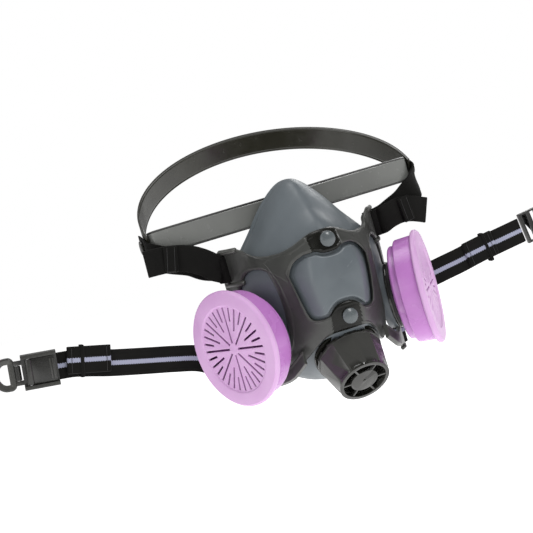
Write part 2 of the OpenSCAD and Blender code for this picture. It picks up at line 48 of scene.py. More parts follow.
cameraLook = {
    "yaw": 14.29,        # degrees round from straight ahead
    "lift": 5.09,        # degrees above level
    "roll": 16.04,       # degrees the camera leans
    "distance": 0.891,   # metres to the target
    "lens": 86.7,        # millimetres
    "sensor": 36,        # millimetres
    "target": (-0.0342, -0.020, 0.0182),
}


def setCamera(look):
    yaw, lift, roll = (math.radians(look[k]) for k in ("yaw", "lift", "roll"))
    back = Vector((-math.sin(yaw) * math.cos(lift), -math.cos(yaw) * math.cos(lift), math.sin(lift)))
    level = Vector((math.cos(yaw), -math.sin(yaw), 0))
    upright = back.cross(level)
    right = math.cos(roll) * level - math.sin(roll) * upright
    up = math.sin(roll) * level + math.cos(roll) * upright
    data = bpy.data.cameras.new("camera")
    data.lens = look["lens"]
    data.sensor_width = look["sensor"]
    data.clip_end = 20
    camera = bpy.data.objects.new("camera", data)
    bpy.context.scene.collection.objects.link(camera)
    place = Vector(look["target"]) + look["distance"] * back
    camera.matrix_world = Matrix([[right[i], up[i], back[i], place[i]] for i in range(3)] + [[0, 0, 0, 1]])
    bpy.context.scene.camera = camera


studio = {
    "floorHeight": -0.25,
    "floorSize": 6.0,
    "floorGlow": 0.68,
    "worldLight": 0.33,
    # name: place, size, watts, what it points at
    "lamps": {
        "keyLamp": ((0.55, -1.0, 1.15), 0.55, 11, (0, 0, 0.02)),
        "fillLamp": ((-1.3, -0.75, 0.45), 1.0, 4.5, (0, 0, 0)),
        "topLamp": ((-0.15, 0.25, 1.5), 0.9, 7, (0, 0, 0.03)),
        "backLamp": ((0.9, 1.1, 0.7), 0.8, 5, (0, 0.05, 0.05)),
    },
}


def newPaint(name):
    mat = bpy.data.materials.new(name)
    mat.use_nodes = True
    return mat, mat.node_tree, mat.node_tree.nodes["Principled BSDF"]


def setStudio(look):
    bpy.ops.mesh.primitive_plane_add(size=look["floorSize"], location=(0, 0, look["floorHeight"]))
    floor = bpy.context.object
    floor.name = "floor"
    mat, _, shader = newPaint("floorPaint")
    shader.inputs["Base Color"].default_value = (0.95, 0.95, 0.95, 1)
    shader.inputs["Roughness"].default_value = 0.9
    shader.inputs["Emission Color"].default_value = (1, 1, 1, 1)
    shader.inputs["Emission Strength"].default_value = look["floorGlow"]
    floor.data.materials.append(mat)
    world = bpy.data.worlds.new("studioWorld")
    bpy.context.scene.world = world
    world.use_nodes = True
    tree = world.node_tree
    back = tree.nodes["Background"]
    back.inputs["Color"].default_value = (1, 1, 1, 1)
    back.inputs["Strength"].default_value = look["worldLight"]
    # what the camera sees behind the object is brighter than what lights it
    sky = tree.nodes.new("ShaderNodeBackground")
    sky.inputs["Color"].default_value = (1, 1, 1, 1)
    sky.inputs["Strength"].default_value = 1.0
    path = tree.nodes.new("ShaderNodeLightPath")
    mix = tree.nodes.new("ShaderNodeMixShader")
    for i, source in enumerate((path.outputs["Is Camera Ray"], back.outputs[0], sky.outputs[0])):
        tree.links.new(source, mix.inputs[i])
    tree.links.new(mix.outputs[0], tree.nodes["World Output"].inputs[0])
    for name, (place, size, watts, aim) in look["lamps"].items():
        data = bpy.data.lights.new(name, "AREA")
        data.shape = "DISK"
        data.size = size
        data.energy = watts
        lamp = bpy.data.objects.new(name, data)
        lamp.location = place
        lamp.rotation_euler = (Vector(aim) - Vector(place)).to_track_quat("-Z", "Y").to_euler()
        bpy.context.scene.collection.objects.link(lamp)
    bpy.context.scene.view_settings.view_transform = "Standard"


setCamera(cameraLook)
setStudio(studio)
print("camera, floor and lights set")

# Each finish: base colour, a second colour mixed in by a soft noise, roughness range, grain size and height; edge is
# the lighter colour on sharp edges, partly wear and partly a painted highlight along the rims
finishes = {
    "maskRubber": dict(base=(0.118, 0.137, 0.150), other=(0.092, 0.108, 0.120), patch=26, rough=(0.34, 0.46),
                       grain=1500, height=0.10, edge=(0.20, 0.22, 0.235), edgeWearAndHighlight=0.35),
    "yokePlastic": dict(base=(0.044, 0.046, 0.041), other=(0.031, 0.032, 0.029), patch=40, rough=(0.32, 0.44),
                        grain=2600, height=0.08, edge=(0.15, 0.15, 0.14), edgeWearAndHighlight=0.5),
    "blackPlastic": dict(base=(0.012, 0.012, 0.009), other=(0.007, 0.007, 0.005), patch=60, rough=(0.05, 0.12),
                         grain=2400, height=0.05, edge=(0.09, 0.09, 0.085), edgeWearAndHighlight=0.4),
    "bucklePlastic": dict(base=(0.017, 0.017, 0.015), other=(0.011, 0.011, 0.010), patch=70, rough=(0.20, 0.34),
                          grain=2400, height=0.10, edge=(0.12, 0.12, 0.11), edgeWearAndHighlight=0.5),
    "recessPlastic": dict(base=(0.006, 0.006, 0.004), other=(0.004, 0.004, 0.003), patch=60, rough=(0.22, 0.34),
                          grain=2400, height=0.04, edge=(0.03, 0.03, 0.027), edgeWearAndHighlight=0.3, shine=0.25),
    # front band: its light grey is a painted reflection on a glossy band that is itself dark
    "bandPaintedReflection": dict(base=(0.185, 0.190, 0.180), other=(0.120, 0.123, 0.115), patch=14, rough=(0.18, 0.30),
                        grain=1800, height=0.05, edge=(0.2, 0.2, 0.19), edgeWearAndHighlight=0.2),
    "rearPlastic": dict(base=(0.027, 0.026, 0.018), other=(0.017, 0.016, 0.011), patch=18, rough=(0.16, 0.28),
                        grain=1800, height=0.04, edge=(0.09, 0.09, 0.09), edgeWearAndHighlight=0.3),
    "bandBorder": dict(base=(0.020, 0.020, 0.018), other=(0.014, 0.014, 0.013), patch=30, rough=(0.25, 0.35),
                       grain=1800, height=0.04, edge=(0.08, 0.08, 0.08), edgeWearAndHighlight=0.2),
    "studPlastic": dict(base=(0.098, 0.112, 0.118), other=(0.080, 0.092, 0.098), patch=60, rough=(0.20, 0.30),
                        grain=2600, height=0.06, edge=(0.22, 0.23, 0.25), edgeWearAndHighlight=0.3),
    "filterSide": dict(base=(0.52, 0.22, 0.56), other=(0.47, 0.18, 0.52), patch=10, rough=(0.22, 0.30),
                       grain=1500, height=0.05, edge=(0.68, 0.42, 0.70), edgeWearAndHighlight=0.35, glow=0.10),
    "filterFace": dict(base=(0.66, 0.41, 0.68), other=(0.61, 0.35, 0.63), patch=26, rough=(0.40, 0.52),
                       grain=1500, height=0.06, edge=(0.74, 0.52, 0.75), edgeWearAndHighlight=0.3, glow=0.10),
    "gasketRubber": dict(base=(0.016, 0.016, 0.017), other=(0.012, 0.012, 0.012), patch=40, rough=(0.5, 0.62),
                         grain=1200, height=0.12, edge=(0.05, 0.05, 0.05), edgeWearAndHighlight=0.2),
    "flapRubber": dict(base=(0.20, 0.19, 0.17), other=(0.16, 0.15, 0.13), patch=50, rough=(0.4, 0.5),
                       grain=900, height=0.1, edge=(0.25, 0.25, 0.24), edgeWearAndHighlight=0.2),
    "pinSteel": dict(base=(0.52, 0.52, 0.53), other=(0.44, 0.44, 0.45), patch=90, rough=(0.22, 0.34),
                     grain=3000, height=0.04, edge=(0.7, 0.7, 0.7), edgeWearAndHighlight=0.3, metal=1.0),
}


def node(tree, kind, **values):
    made = tree.nodes.new(kind)
    for key, value in values.items():
        if key.startswith("in_"):
            made.inputs[int(key[3:])].default_value = value
        else:
            setattr(made, key, value)
    return made


def mathNode(tree, operation, first, second=0.0):
    made = node(tree, "ShaderNodeMath", operation=operation)
    for place, value in enumerate((first, second)):
        if isinstance(value, (int, float)):
            made.inputs[place].default_value = value
        else:
            tree.links.new(value, made.inputs[place])
    return made.outputs[0]


def mixColour(tree, share, first, second):
    made = node(tree, "ShaderNodeMix", data_type="RGBA")
    for place, value in ((0, share), (6, first), (7, second)):
        if isinstance(value, (int, float)):
            made.inputs[place].default_value = value
        elif isinstance(value, tuple):
            made.inputs[place].default_value = (*value, 1)
        else:
            tree.links.new(value, made.inputs[place])
    return made.outputs[2]


def spread(tree, value, low, high, toLow, toHigh):
    made = node(tree, "ShaderNodeMapRange")
    tree.links.new(value, made.inputs[0])
    for place, number in enumerate((low, high, toLow, toHigh), 1):
        made.inputs[place].default_value = number
    return made.outputs[0]


def addBump(tree, shader, height, strength, distance):
    bump = node(tree, "ShaderNodeBump", in_0=strength, in_1=distance)
    tree.links.new(height, bump.inputs["Height"])
    tree.links.new(bump.outputs[0], shader.inputs["Normal"])


# Moulded finish: colour drifts with a soft noise, edges are lighter as wear and as a painted highlight along the rims,
# and a fine grain lifts the surface
def mouldedFinish(name, look):
    mat, tree, shader = newPaint(name)
    place = node(tree, "ShaderNodeTexCoord").outputs["Object"]
    patches = node(tree, "ShaderNodeTexNoise", in_2=float(look["patch"]), in_3=3.0)
    grain = node(tree, "ShaderNodeTexNoise", in_2=float(look["grain"]), in_3=2.0)
    scuffs = node(tree, "ShaderNodeTexNoise", in_2=float(look["patch"]) * 7, in_3=5.0)
    for made in (patches, grain, scuffs):
        tree.links.new(place, made.inputs["Vector"])
    share = spread(tree, patches.outputs[0], 0.35, 0.65, 0.0, 1.0)
    colour = mixColour(tree, share, look["base"], look["other"])
    edges = node(tree, "ShaderNodeNewGeometry").outputs["Pointiness"]
    # sharp edges lighten: partly wear, partly a painted highlight along the rims
    wearAndHighlight = spread(tree, edges, 0.515, 0.58, 0.0, look["edgeWearAndHighlight"])
    colour = mixColour(tree, wearAndHighlight, colour, look["edge"])
    tree.links.new(colour, shader.inputs["Base Color"])
    tree.links.new(spread(tree, scuffs.outputs[0], 0.3, 0.7, *look["rough"]), shader.inputs["Roughness"])
    addBump(tree, shader, grain.outputs[0], look["height"], 0.0002)
    shader.inputs["Metallic"].default_value = look.get("metal", 0.0)
    shader.inputs["Specular IOR Level"].default_value = look.get("shine", 0.5)
    if "glow" in look:
        shader.inputs["Subsurface Weight"].default_value = look["glow"]
        shader.inputs["Subsurface Radius"].default_value = (0.004, 0.002, 0.004)
        shader.inputs["Subsurface Scale"].default_value = 1.0
    return mat


webbingLook = {
    "yarn": (0.003, 0.003, 0.0027),
    # lift: lighter colour given to raised yarns as a painted highlight, and mixed in at random by a soft noise
    "lift": (0.011, 0.0105, 0.0095),
    "stripe": (0.50, 0.52, 0.68),
    "rib": 0.0011,         # metres between ribs along the webbing
    "pick": 0.0009,        # metres between yarns across it
    "stripeHalf": 0.00155,
    "zigzag": 0.0017,      # length of one tooth of the stripe's edge
    "tooth": 0.0006,
    "rough": 0.82,
    "sheen": 0.03,
    "shine": 0.12,
}


# Woven webbing: ribs along u and yarns along v from the piece's own UV map, and a stripe with toothed edges if wanted.
# Raised yarns are painted lighter and low yarns darker: painted highlight and shade on the weave
def wovenFinish(name, look, striped):
    mat, tree, shader = newPaint(name)
    place = node(tree, "ShaderNodeUVMap", uv_map="weave").outputs[0]
    split = node(tree, "ShaderNodeSeparateXYZ")
    tree.links.new(place, split.inputs[0])
    along, across = split.outputs[0], split.outputs[1]
    turn = 2 * math.pi
    rib = mathNode(tree, "SINE", mathNode(tree, "MULTIPLY", along, turn / look["rib"]))
    pick = mathNode(tree, "SINE", mathNode(tree, "MULTIPLY", across, turn / look["pick"]))
    weave = mathNode(tree, "MULTIPLY", rib, pick)
    fuzz = node(tree, "ShaderNodeTexNoise", in_2=2200.0, in_3=2.0)
    drift = node(tree, "ShaderNodeTexNoise", in_2=45.0, in_3=2.0)
    for made in (fuzz, drift):
        tree.links.new(node(tree, "ShaderNodeTexCoord").outputs["Object"], made.inputs["Vector"])
    woven = spread(tree, weave, -1, 1, 0, 0.8)
    raised = mathNode(tree, "ADD", woven, mathNode(tree, "MULTIPLY", fuzz.outputs[0], 0.5))
    # raised yarns take the lift colour as a painted highlight on the weave's tops, the yarn colour as painted shade in
    # its hollows
    colour = mixColour(tree, spread(tree, raised, 0.3, 1.2, 0, 0.8), look["yarn"], look["lift"])
    colour = mixColour(tree, spread(tree, drift.outputs[0], 0.4, 0.7, 0, 0.35), colour, look["lift"])
    if striped:
        tooth = mathNode(tree, "PINGPONG", along, look["zigzag"] / 2)
        edge = mathNode(tree, "ADD", mathNode(tree, "MULTIPLY", tooth, 2 * look["tooth"] / look["zigzag"]),
                        look["stripeHalf"] - look["tooth"] / 2)
        inside = mathNode(tree, "LESS_THAN", mathNode(tree, "ABSOLUTE", across), edge)
        shadow = tuple(0.55 * c for c in look["stripe"])
        thread = mixColour(tree, spread(tree, raised, 0.3, 1.2, 0, 0.7), shadow, look["stripe"])
        colour = mixColour(tree, inside, colour, thread)
    tree.links.new(colour, shader.inputs["Base Color"])
    shader.inputs["Roughness"].default_value = look["rough"]
    shader.inputs["Sheen Weight"].default_value = look["sheen"]
    shader.inputs["Specular IOR Level"].default_value = look["shine"]
    shader.inputs["Sheen Roughness"].default_value = 0.5
    addBump(tree, shader, raised, 0.5, 0.0003)
    return mat


# Filter pad behind the grille, painted dark violet as painted shade inside the grille's slots, though the pad itself is
# white: colour in soft clumps, and fine fibres lift the surface
def paperFinish(name):
    mat, tree, shader = newPaint(name)
    place = node(tree, "ShaderNodeTexCoord").outputs["Object"]
    fibres = node(tree, "ShaderNodeTexNoise", in_2=1400.0, in_3=6.0)
    clumps = node(tree, "ShaderNodeTexNoise", in_2=160.0, in_3=2.0)
    for made in (fibres, clumps):
        tree.links.new(place, made.inputs["Vector"])
    share = spread(tree, clumps.outputs[0], 0.3, 0.7, 0, 1)
    # dark violet: painted shade for the slots of the grille, not the pad's own white
    tree.links.new(mixColour(tree, share, (0.30, 0.10, 0.33), (0.22, 0.05, 0.25)), shader.inputs["Base Color"])
    shader.inputs["Roughness"].default_value = 0.95
    addBump(tree, shader, fibres.outputs[0], 0.5, 0.0004)
    return mat


paint = {name: mouldedFinish(name, look) for name, look in finishes.items()}
paint["webbing"] = wovenFinish("webbing", webbingLook, False)
paint["stripedWebbing"] = wovenFinish("stripedWebbing", webbingLook, True)
paint["filterPaperPaintedShade"] = paperFinish("filterPaperPaintedShade")
print("materials made:", len(paint))


# All shapes below are in millimetres until their mesh is made.
def linked(name, mesh):
    piece = bpy.data.objects.new(name, mesh)
    bpy.context.scene.collection.objects.link(piece)
    return piece


# A grid of points (u by v) becomes quads; closeU and closeV join the last row to the first, caps close an end
def gridPiece(name, grid, finish, closeU=False, closeV=False, caps=(False, False), uv=None, sharp=38):
    grid = np.asarray(grid, float)
    rows, cols = grid.shape[:2]
    index = np.arange(rows * cols).reshape(rows, cols)
    nextRow = np.roll(index, -1, 0) if closeU else index[1:]
    here = index if closeU else index[:-1]
    if closeV:
        corners = (here, nextRow, np.roll(nextRow, -1, 1), np.roll(here, -1, 1))
    else:
        corners = (here[:, :-1], nextRow[:, :-1], nextRow[:, 1:], here[:, 1:])
    faces = np.stack([c.ravel() for c in corners], 1).tolist()
    points = [grid.reshape(-1, 3)]
    extra = rows * cols
    for wanted, row in zip(caps, (0, rows - 1)):
        if wanted:
            ring = index[row]
            after = np.roll(ring, -1)
            faces += np.stack([ring, after, np.full(cols, extra)], 1).tolist()
            points.append(grid[row].mean(0)[None])
            extra += 1
    mesh = bpy.data.meshes.new(name)
    mesh.from_pydata((np.concatenate(points) * mm).tolist(), [], faces)
    if uv is not None:
        flat = np.concatenate([uv.reshape(-1, 2), np.zeros((extra - rows * cols, 2))])
        layer = mesh.uv_layers.new(name="weave")
        loops = np.zeros(len(mesh.loops), np.int32)
        mesh.loops.foreach_get("vertex_index", loops)
        layer.data.foreach_set("uv", (flat[loops] * mm).ravel())
    shaper = bmesh.new()
    shaper.from_mesh(mesh)
    bmesh.ops.recalc_face_normals(shaper, faces=shaper.faces[:])
    shaper.to_mesh(mesh)
    shaper.free()
    mesh.shade_smooth()
    mesh.set_sharp_from_angle(angle=math.radians(sharp))
    mesh.materials.append(paint[finish])
    return linked(name, mesh)


# A finished piece rides on its body, and may stand for CAD nodes
def settle(piece, body, materialSlot, *stoodFor):
    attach(piece, body)
    if stoodFor:
        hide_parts(*stoodFor)
    return piece


# Cubic blend of four control points at share f between the middle two
def catmullRom(a, b, c, d, f):
    return 0.5 * (2 * b + (c - a) * f + (2 * a - 5 * b + 4 * c - d) * f**2 + (3 * b - a - 3 * c + d) * f**3)


# Smooth curve through control points, with steps points between each pair
def curveThrough(points, steps):
    points = np.asarray(points, float)
    padded = np.concatenate([points[:1], points, points[-1:]])
    t = (np.arange(len(points) - 1)[:, None] + np.arange(steps)[None] / steps).ravel()
    t = np.append(t, len(points) - 1 - 1e-9)
    i = t.astype(int)
    return catmullRom(*(padded[i + k] for k in range(4)), (t - i)[:, None])


# The same line with count points at equal distances along it
def evenly(points, count):
    points = np.asarray(points, float)
    run = np.concatenate([[0], np.cumsum(np.linalg.norm(np.diff(points, axis=0), axis=1))])
    at = np.linspace(0, run[-1], count)
    return np.stack([np.interp(at, run, points[:, k]) for k in range(points.shape[1])], 1)


# Each row of v at length 1
def unitRows(v):
    return v / np.maximum(np.linalg.norm(v, axis=-1, keepdims=True), 1e-12)


# Outline of a flat strip with round edges: a flat of across points, a quarter circle of radius bend, and both again
# turned by half; a groove is a bell-shaped dip near each edge
def stripOutline(halfWide, halfThick, bend, across=13, groove=None):
    corner = np.linspace(0, math.pi / 2, 6)
    flat = np.linspace(-(halfWide - bend), halfWide - bend, across)
    top = np.stack([flat, np.full(across, halfThick)], 1)
    if groove:
        inset, depth, wide = groove
        top[:, 1] -= np.exp(-(((halfWide - np.abs(flat)) - inset) / wide) ** 2) * depth
    right = np.stack([halfWide - bend + bend * np.sin(corner), halfThick - bend + bend * np.cos(corner)], 1)
    half = np.concatenate([top, right])
    return np.concatenate([half, -half])


# An outline carried along a path: point = path + sideways direction * width + flat direction * thickness, and both
# ends shrink along a quarter circle to round off
def carried(name, path, across, outline, finish, roundEnds=0.6, closed=False, sharp=45):
    path = np.asarray(path, float)
    across = unitRows(np.asarray(across, float))
    if closed:
        heading = unitRows(np.roll(path, -1, 0) - np.roll(path, 1, 0))
    else:
        heading = unitRows(np.gradient(path, axis=0))
    flat = unitRows(np.cross(heading, across))
    across = unitRows(np.cross(flat, heading))
    scale = np.ones(len(path))
    if roundEnds and not closed:
        outline = np.asarray(outline)
        lead = np.array([0.0, 0.12, 0.4, 0.8, 1.0]) * roundEnds
        shrink = roundEnds * (1 - np.sqrt(np.clip(1 - (1 - lead / roundEnds) ** 2, 0, 1)))
        first = path[0] + heading[0] * lead[:, None]
        last = path[-1] - heading[-1] * lead[::-1][:, None]
        inner = path[1:-1]
        path = np.concatenate([first, inner[np.linalg.norm(inner - path[0], axis=1) > roundEnds * 1.2], last])
        count = len(path) - 10
        near = np.linalg.norm(inner - first[0], axis=1) > roundEnds * 1.2
        across, flat = (np.concatenate([np.repeat(v[:1], 5, 0), v[1:-1][near], np.repeat(v[-1:], 5, 0)])
                        for v in (across, flat))
        inset = np.concatenate([shrink, np.zeros(count), shrink[::-1]])
    else:
        inset = np.zeros(len(path))
    outline = np.asarray(outline, float)
    low = np.abs(outline).max(0)
    size = np.maximum(low[None, None, :] - inset[:, None, None], 0.05) / low[None, None, :]
    shape = outline[None] * size
    grid = path[:, None] + across[:, None] * shape[..., :1] + flat[:, None] * shape[..., 1:]
    run = np.concatenate([[0], np.cumsum(np.linalg.norm(np.diff(path, axis=0), axis=1))])
    uv = np.stack(np.broadcast_arrays(run[:, None], outline[None, :, 0]), -1)
    caps = (not closed, not closed)
    return gridPiece(name, grid, finish, closeU=closed, closeV=True, caps=caps, uv=uv, sharp=sharp)


softEdge = {"segments": 3, "angle": 32, "sharp": 30, "merge": 2e-6}   # degrees, and metres


# A copy of a CAD node with merged points and softened edges
def softened(nodeName, name, width, finish):
    mesh = frame["nodes"][nodeName].data.copy()
    mesh.name = name
    shaper = bmesh.new()
    shaper.from_mesh(mesh)
    bmesh.ops.remove_doubles(shaper, verts=shaper.verts[:], dist=softEdge["merge"])
    bmesh.ops.dissolve_limit(shaper, angle_limit=math.radians(0.6), verts=shaper.verts[:], edges=shaper.edges[:])
    shaper.to_mesh(mesh)
    shaper.free()
    mesh.materials.clear()
    mesh.materials.append(paint[finish])
    piece = linked(name, mesh)
    bevel = piece.modifiers.new("softEdge", "BEVEL")
    bevel.width = width * mm
    bevel.segments = softEdge["segments"]
    bevel.limit_method = "ANGLE"
    bevel.angle_limit = math.radians(softEdge["angle"])
    bevel.use_clamp_overlap = True
    bevel.harden_normals = False
    bpy.context.view_layer.update()
    settled = piece.evaluated_get(bpy.context.evaluated_depsgraph_get())
    finished = bpy.data.meshes.new_from_object(settled)
    piece.modifiers.clear()
    piece.data = finished
    finished.name = name
    finished.shade_smooth()
    finished.set_sharp_from_angle(angle=math.radians(softEdge["sharp"]))
    return piece


maskShape = {
    "halfWide": 55, "top": 72, "bottom": 75, "pinch": 0.34, "ridge": 0.16, "bridge": 0.2, "wall": 2.6, "lipTurn": 0.16,
    "around": 288, "outAlong": 112, "portHole": 22.4, "valveHole": 21.4, "holeReach": 24,
    # mean share of the outline at each station, a first guess for overRubber
    "guess": [0, 0.2, 0.36, 0.51, 0.64, 0.79, 0.92, 1],
    # share of the outline and depth at nine stations from the front centre to the rim
    "nose": [(0, -62), (0.2, -61.5), (0.39, -60), (0.55, -52), (0.69, -40),
             (0.85, -29), (0.96, -19), (1, -8), (0.97, 0)],
    "cheek": [(0, -62), (0.22, -61), (0.36, -56), (0.52, -45), (0.66, -35),
              (0.8, -24), (0.93, -10), (1, 5), (0.98, 18)],
    "chin": [(0, -62), (0.17, -63), (0.33, -63), (0.46, -58), (0.58, -51),
             (0.72, -38), (0.88, -20), (1, 2), (0.96, 16)],
}


# Smooth reading of a line of stations at s, a share of the way between two of them
def alongLine(line, s):
    line = np.asarray(line, float)
    i = np.clip(np.floor(s).astype(int), 0, len(line) - 2)
    t = (s - i)[..., None]
    return catmullRom(line[np.maximum(i - 1, 0)], line[i], line[i + 1], line[np.minimum(i + 2, len(line) - 1)], t)


# Smooth step from 0 to 1: 3 t squared less 2 t cubed
def ease(t):
    u = np.clip(t, 0, 1)
    return u * u * (3 - 2 * u)


# Point on the rubber at angle a round from the nose, s stations out. The nose, cheek and chin lines are blended by
# cos squared; x = half width * sin to the power 0.85, drawn in by the pinch * cos to the power 2.5; z = height * cos.
# narrow draws the sides of the nose in near the seal, which the yoke doesn't follow
def rubberPoint(a, s, narrow=0):
    c, q = np.cos(a), np.sin(a)
    w = (c * c)[..., None]
    upper, lower = alongLine(maskShape["nose"], s), alongLine(maskShape["chin"], s)
    middle = np.where((c > 0)[..., None], upper, lower)
    both = middle * w + alongLine(maskShape["cheek"], s) * (1 - w)
    reach, depth = both[..., 0], both[..., 1]
    pinch = maskShape["pinch"] + maskShape["ridge"] * np.sin(math.pi * np.clip((s - 1) / 6.6, 0, 1))
    drawnIn = 1 - pinch * np.maximum(0, c) ** 2.5 - narrow * ease((c - 0.15) / 0.5) * ease((s - 3) / 4)
    x = maskShape["halfWide"] * np.sign(q) * np.abs(q) ** 0.85 * drawnIn
    z = np.where(c > 0, maskShape["top"], maskShape["bottom"]) * c
    return np.stack([x * reach, depth, z * reach], -1)


# Outward direction of the rubber: the cross product of its small steps round and out
def rubberOut(a, s, narrow=0):
    turn = rubberPoint(a + 0.012, s, narrow) - rubberPoint(a - 0.012, s, narrow)
    away = rubberPoint(a, s + 0.02, narrow) - rubberPoint(a, np.maximum(s - 0.02, 0), narrow)
    return unitRows(np.cross(turn, away))


# The point over x and z on the surface that lies lift above the rubber, found by Newton steps in a flat (p, q) map
def overRubber(x, z, lift):
    x, z, lift = np.broadcast_arrays(np.asarray(x, float), np.asarray(z, float), np.asarray(lift, float))
    wide, tall = x / maskShape["halfWide"], z / ((maskShape["top"] + maskShape["bottom"]) / 2)
    s = np.interp(np.hypot(wide, tall), maskShape["guess"], np.arange(8))
    a = np.arctan2(wide, tall)
    p, q = s * np.sin(a), s * np.cos(a)

    def surface(p, q):
        s = np.clip(np.hypot(p, q), 0.02, 7.4)
        a = np.arctan2(p, q)
        return rubberPoint(a, s) + lift[..., None] * rubberOut(a, s)

    for _ in range(14):
        here = surface(p, q)
        h = 0.01
        dp, dq = (surface(p + h, q) - here) / h, (surface(p, q + h) - here) / h
        ex, ez = x - here[..., 0], z - here[..., 2]
        det = dp[..., 0] * dq[..., 2] - dq[..., 0] * dp[..., 2]
        det = np.where(np.abs(det) < 1e-3, 1e-3, det)
        p = p + np.clip((ex * dq[..., 2] - ez * dq[..., 0]) / det, -0.4, 0.4)
        q = q + np.clip((ez * dp[..., 0] - ex * dp[..., 2]) / det, -0.4, 0.4)
    return surface(p, q)


# centre and outward direction of the right inlet and of the valve
portAt = np.array([50.8, -16.5, -28.5])
portTurn = math.radians(62)
portOut = np.array([math.sin(portTurn), -math.cos(portTurn), 0])
valveAt = np.array([0, -37, -52])
valveTilt = math.radians(43.5)
valveOut = np.array([0, -math.cos(valveTilt), -math.sin(valveTilt)])


# The facepiece: rings of rubberPoint from the nose to the seal, a lip that turns in, and three round holes
def makeFacepiece():
    rounds, steps = maskShape["around"], maskShape["outAlong"]
    a = np.linspace(0, 2 * math.pi, rounds, endpoint=False)[:, None]
    s = (np.linspace(0, 1, steps) ** 0.85 * 7.98 + 0.02)[None]
    a, s = np.broadcast_arrays(a, s)
    skin = rubberPoint(a, s, maskShape["bridge"])
    out = rubberOut(a, s, maskShape["bridge"])
    # a thin bead follows the seal edge, and a soft ridge runs up the nose
    bead = 1.1 * np.exp(-((s - 7.5) / 0.13) ** 2) - 0.35 * np.exp(-((s - 7.15) / 0.14) ** 2)
    side = np.abs(np.degrees(np.arctan2(np.sin(a), np.cos(a))))
    bead = bead + 0.7 * np.exp(-(side / 9) ** 2) * np.clip((s - 2.6) / 1.2, 0, 1) * np.clip((7.2 - s) / 1.5, 0, 1)
    skin = skin + out * bead[..., None]
    # the sealing lip turns in and ends in a round edge
    rim = rubberPoint(a[:, :1], np.full((rounds, 1), 8.0), maskShape["bridge"])
    turnIn = np.linspace(0.12, 1, 9)[None, :, None]
    share = 1 - maskShape["lipTurn"] * turnIn
    lip = rim * np.array([1, 0, 1]) * share + rim * np.array([0, 1, 0])
    lip[..., 1] += (2.2 * np.sin(turnIn[..., 0] * math.pi) - 6.2 * turnIn[..., 0] ** 1.5)
    grid = np.concatenate([skin, lip], 1)
    keep = np.ones(grid.shape[:2], bool)
    otherSide = np.array([-1, 1, 1])
    holes = ((portAt, portOut, maskShape["portHole"]), (portAt * otherSide, portOut * otherSide, maskShape["portHole"]),
             (valveAt, valveOut, maskShape["valveHole"]))
    for centre, axis, radius in holes:
        away = grid - centre
        height = away @ axis
        flat = away - height[..., None] * axis
        reach = np.linalg.norm(flat, axis=-1)
        inside = (reach < radius) & (np.abs(height) < maskShape["holeReach"])
        # points just inside the hole slide out to its edge along the rubber
        near = inside & (reach > radius - 1.6)
        radial = unitRows(flat)
        normal = np.zeros_like(grid)
        normal[:, :steps] = out
        normal[:, steps:] = out[:, -1:]
        facing = np.sum(normal * axis, -1)
        facing = np.where(np.abs(facing) < 0.3, 0.3, facing)
        slide = radial - axis * (np.sum(radial * normal, -1) / facing)[..., None]
        grid = np.where(near[..., None], grid + slide * (radius - reach)[..., None], grid)
        keep &= ~(inside & ~near)
    rows, cols = grid.shape[:2]
    index = np.arange(rows * cols).reshape(rows, cols)
    beside = np.roll(index, -1, 0)
    quads = np.stack([index[:, :-1], beside[:, :-1], beside[:, 1:], index[:, 1:]], -1).reshape(-1, 4)
    quads = quads[keep.ravel()[quads].all(1)]
    points = np.concatenate([grid.reshape(-1, 3), rubberPoint(np.zeros(1), np.zeros(1))])
    first = index[:, 0]
    front = np.stack([np.full(rows, rows * cols), np.roll(first, -1), first], 1)
    mesh = bpy.data.meshes.new("facepiece_skin")
    mesh.from_pydata((points * mm).tolist(), [], quads.tolist() + front.tolist())
    shaper = bmesh.new()
    shaper.from_mesh(mesh)
    loose = [v for v in shaper.verts if not v.link_faces]
    bmesh.ops.delete(shaper, geom=loose, context="VERTS")
    bmesh.ops.recalc_face_normals(shaper, faces=shaper.faces[:])
    middle = min(shaper.faces, key=lambda f: (f.calc_center_median() - Vector((0, -0.062, 0.0))).length)
    if middle.normal.y > 0:
        bmesh.ops.reverse_faces(shaper, faces=shaper.faces[:])
    shaper.to_mesh(mesh)
    shaper.free()
    mesh.shade_smooth()
    mesh.materials.append(paint["maskRubber"])
    piece = linked("facepiece_skin", mesh)
    wall = piece.modifiers.new("wall", "SOLIDIFY")
    wall.thickness = maskShape["wall"] * mm
    wall.offset = -1
    wall.use_rim = True
    return settle(piece, "mask", "mask_rubber", "facepiece")


makeFacepiece()
print("facepiece made")

yokeShape = {
    "gap": 0.45, "thick": 2.8, "edgeRound": 1.3, "rimLift": 0.32, "recess": 0.7, "bossHalf": 10.5, "bossShift": -1.5,
    # right halves, seen from the front, from the top middle round to the bottom middle
    "window": [[(0, 19), (5, 19.5), (10, 21.6), (16.9, 21.4)],
               [(16.9, 21.4), (21.5, 19.2), (24.8, 16.2), (28.4, 10.5)],
               [(28.4, 10.5), (27.6, 3), (26.5, -5), (24.4, -17)],
               [(24.4, -17), (22.8, -21.6), (20.4, -23.4), (17.2, -23.8)],
               [(17.2, -23.8), (12.5, -22.6), (9, -18.8), (5, -16.2), (0, -15.6)]],
    "edge": [[(0, 35), (6, 34.7), (12, 32.6), (19, 29)], [(19, 29), (27, 26.2), (35, 25.8), (40, 24)],
             [(40, 24), (37.8, 14), (36.2, 4), (35, -12)], [(35, -12), (35.4, -24), (36.6, -38), (38.2, -46)],
             [(38.2, -46), (38.6, -57.5), (30.4, -54), (22.4, -43), (14, -36.2), (0, -35.4)]],
}


